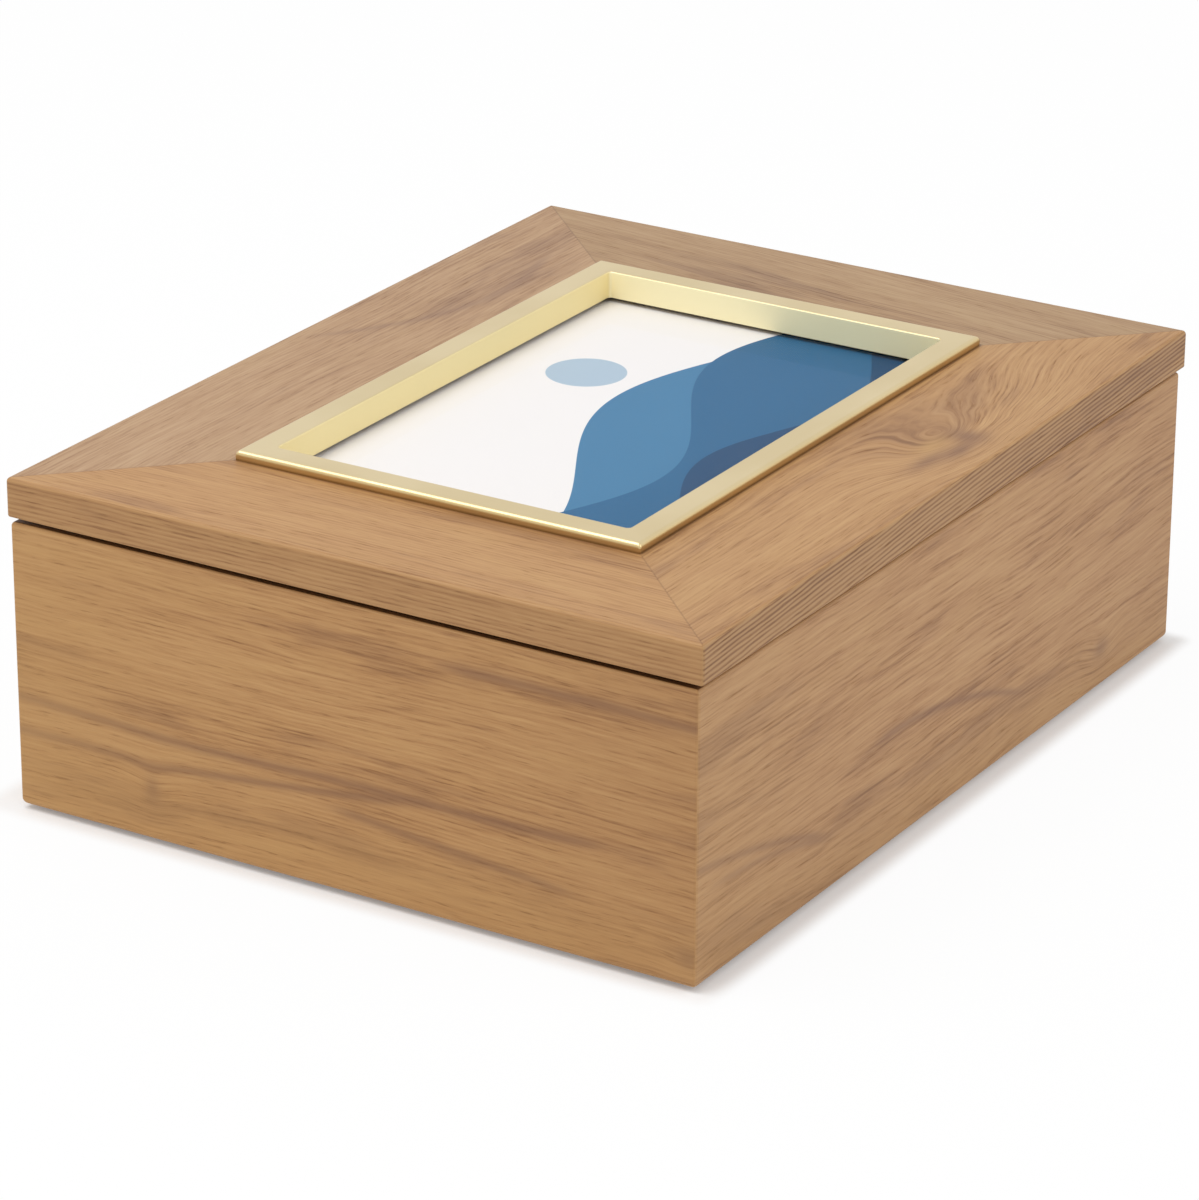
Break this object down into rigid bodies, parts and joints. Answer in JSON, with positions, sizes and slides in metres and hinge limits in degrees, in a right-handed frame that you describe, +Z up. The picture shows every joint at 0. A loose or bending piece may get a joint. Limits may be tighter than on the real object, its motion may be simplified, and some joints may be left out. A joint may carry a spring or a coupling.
{
  "type": "photo storage box",
  "caption": "Low wooden keepsake box: a mitred body with a felt floor, and a hinged lid that frames a small print behind glass.",
  "frame": {"origin": "middle of the footprint, hinges included, on the surface the felt feet stand on", "axes": "+X along the long side, towards the right end as seen from the opening front; +Y from the front to the hinges; +Z up"},
  "size_m": [0.235, 0.1904, 0.0855],
  "materials": {
    "oak_veneer": "matt lacquered oak veneer, grain along each rail and wall",
    "tongue_wood": "raw beech",
    "fibreboard": "bare hardboard",
    "felt": "napped felt",
    "bumper_rubber": "soft clear pad",
    "hinge_brass": "satin",
    "frame_gold": "fine brushed, pale gold",
    "picture_glass": "clear",
    "printed_card": "smooth printed card",
    "plated_steel": "zinc plated"
  },
  "bodies": {
    "base": {"base_front_wall": "oak_veneer", "base_back_wall": "oak_veneer", "base_left_wall": "oak_veneer", "base_right_wall": "oak_veneer", "base_spline_front_left": "tongue_wood", "base_spline_front_right": "tongue_wood", "base_spline_back_left": "tongue_wood", "base_spline_back_right": "tongue_wood", "base_bottom_board": "fibreboard", "base_lining": "felt", "foot_front_left": "felt", "foot_front_right": "felt", "foot_back_left": "felt", "foot_back_right": "felt", "bumper_left": "bumper_rubber", "bumper_right": "bumper_rubber", "hinge_left_base_leaf": "hinge_brass", "hinge_right_base_leaf": "hinge_brass", "hinge_left_pin": "hinge_brass", "hinge_right_pin": "hinge_brass", "base_hinge_screws": "hinge_brass"},
    "lid": {"lid_front_rail": "oak_veneer", "lid_back_rail": "oak_veneer", "lid_left_rail": "oak_veneer", "lid_right_rail": "oak_veneer", "lid_spline_front_left": "tongue_wood", "lid_spline_front_right": "tongue_wood", "lid_spline_back_left": "tongue_wood", "lid_spline_back_right": "tongue_wood", "picture_frame": "frame_gold", "glass_pane": "picture_glass", "picture_card": "printed_card", "backing_board": "fibreboard", "turn_button_screws": "plated_steel", "hinge_left_lid_leaf": "hinge_brass", "hinge_right_lid_leaf": "hinge_brass", "lid_hinge_screws": "hinge_brass"},
    "turn_button_front_left": {"turn_button_front_left": "plated_steel"},
    "turn_button_front_right": {"turn_button_front_right": "plated_steel"},
    "turn_button_back_left": {"turn_button_back_left": "plated_steel"},
    "turn_button_back_right": {"turn_button_back_right": "plated_steel"}
  },
  "joints": [
    {"name": "lid_hinge", "type": "hinge", "parent": "base", "child": "lid", "pos_m": [0, 0.0922, 0.07272], "axis": [-1, 0, 0], "range_deg": [0, 100]},
    {"name": "turn_button_front_left_swivel", "type": "hinge", "parent": "lid", "child": "turn_button_front_left", "pos_m": [-0.045, -0.0622, 0.0727], "axis": [0, 0, 1], "continuous": true},
    {"name": "turn_button_front_right_swivel", "type": "hinge", "parent": "lid", "child": "turn_button_front_right", "pos_m": [0.045, -0.0622, 0.0727], "axis": [0, 0, 1], "continuous": true},
    {"name": "turn_button_back_left_swivel", "type": "hinge", "parent": "lid", "child": "turn_button_back_left", "pos_m": [-0.045, 0.0568, 0.0727], "axis": [0, 0, 1], "continuous": true},
    {"name": "turn_button_back_right_swivel", "type": "hinge", "parent": "lid", "child": "turn_button_back_right", "pos_m": [0.045, 0.0568, 0.0727], "axis": [0, 0, 1], "continuous": true}
  ]
}
